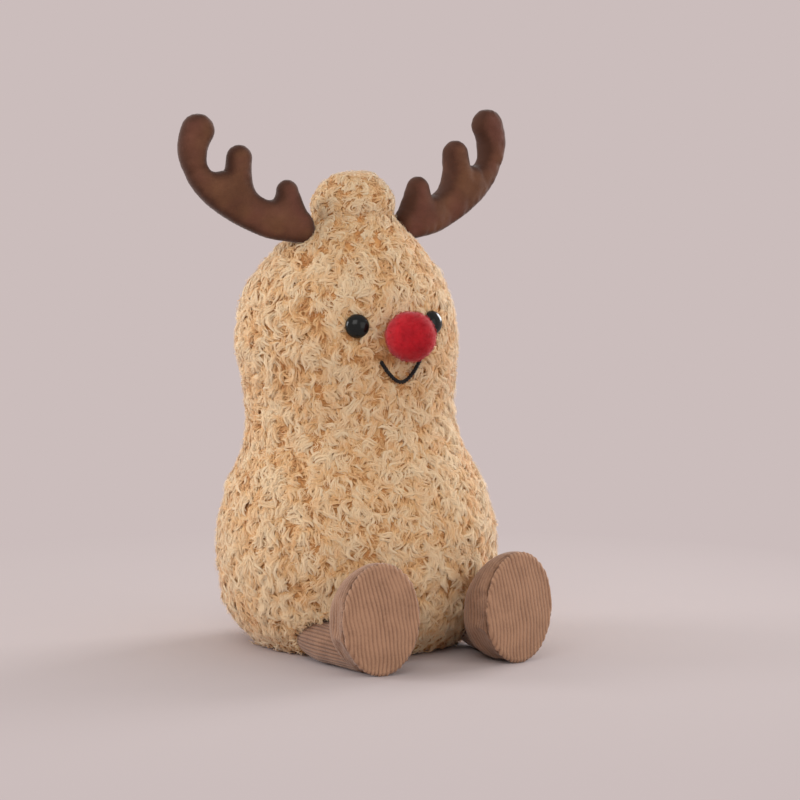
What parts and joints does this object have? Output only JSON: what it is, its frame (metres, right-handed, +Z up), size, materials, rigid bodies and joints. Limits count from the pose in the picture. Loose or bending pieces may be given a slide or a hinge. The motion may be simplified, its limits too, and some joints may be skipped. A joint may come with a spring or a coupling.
{
  "type": "stuffed toy",
  "caption": "Sitting plush reindeer: fur body with a weighted seat, swinging corduroy legs with upright soles, bendy stuffed antlers and a round felt nose.",
  "frame": {"origin": "on the floor at the middle of the round seat panel, under the belly's axis", "axes": "+Z up through the body, the face and toes point to -Y, the toy's own left is +X"},
  "size_m": [0.1546, 0.141, 0.2228],
  "materials": {
    "fur": "matte",
    "seat_cloth": "matte",
    "stuffing": "matte",
    "pouch_cloth": "matte",
    "pellets": "satin",
    "eye_bead": "gloss",
    "washer": "satin",
    "nose_felt": "matte",
    "thread": "satin",
    "corduroy": "matte",
    "antler_suede": "matte"
  },
  "bodies": {
    "torso": {"body_skin_left": "fur", "body_skin_right": "fur", "head_skin_left": "fur", "head_skin_right": "fur", "crown_cap": "fur", "seat_panel": "seat_cloth", "body_fill": "stuffing", "head_fill": "stuffing", "bean_pouch_lower": "pouch_cloth", "bean_pouch_upper": "pouch_cloth", "bean_pellets": "pellets", "eye_left": "eye_bead", "eye_washer_left": "washer", "eye_right": "eye_bead", "eye_washer_right": "washer", "nose_cover": "nose_felt", "nose_fill": "stuffing", "mouth_stitch": "thread"},
    "leg_left": {"leg_tube_left": "corduroy", "leg_fill_left": "stuffing", "boot_upper_left": "corduroy", "boot_sole_left": "corduroy", "boot_fill_left": "stuffing"},
    "leg_right": {"leg_tube_right": "corduroy", "leg_fill_right": "stuffing", "boot_upper_right": "corduroy", "boot_sole_right": "corduroy", "boot_fill_right": "stuffing"},
    "antler_left": {"antler_front_left": "antler_suede", "antler_back_left": "antler_suede", "antler_fill_left": "stuffing"},
    "antler_right": {"antler_front_right": "antler_suede", "antler_back_right": "antler_suede", "antler_fill_right": "stuffing"}
  },
  "joints": [
    {"name": "hip_left", "type": "hinge", "parent": "torso", "child": "leg_left", "pos_m": [0.037, -0.03153, 0.0086], "axis": [-1, 0, 0], "range_deg": [-80, 12]},
    {"name": "hip_right", "type": "hinge", "parent": "torso", "child": "leg_right", "pos_m": [-0.037, -0.03153, 0.0086], "axis": [-1, 0, 0], "range_deg": [-80, 12]},
    {"name": "antler_bend_left", "type": "hinge", "parent": "torso", "child": "antler_left", "pos_m": [0.02533, 0.00174, 0.17436], "axis": [0.6401, 0.1129, -0.76], "range_deg": [-20, 20], "stiffness_Nm_per_rad": 0.05},
    {"name": "antler_bend_right", "type": "hinge", "parent": "torso", "child": "antler_right", "pos_m": [-0.02533, 0.00174, 0.17436], "axis": [0.6401, -0.1129, 0.76], "range_deg": [-20, 20], "stiffness_Nm_per_rad": 0.05}
  ]
}
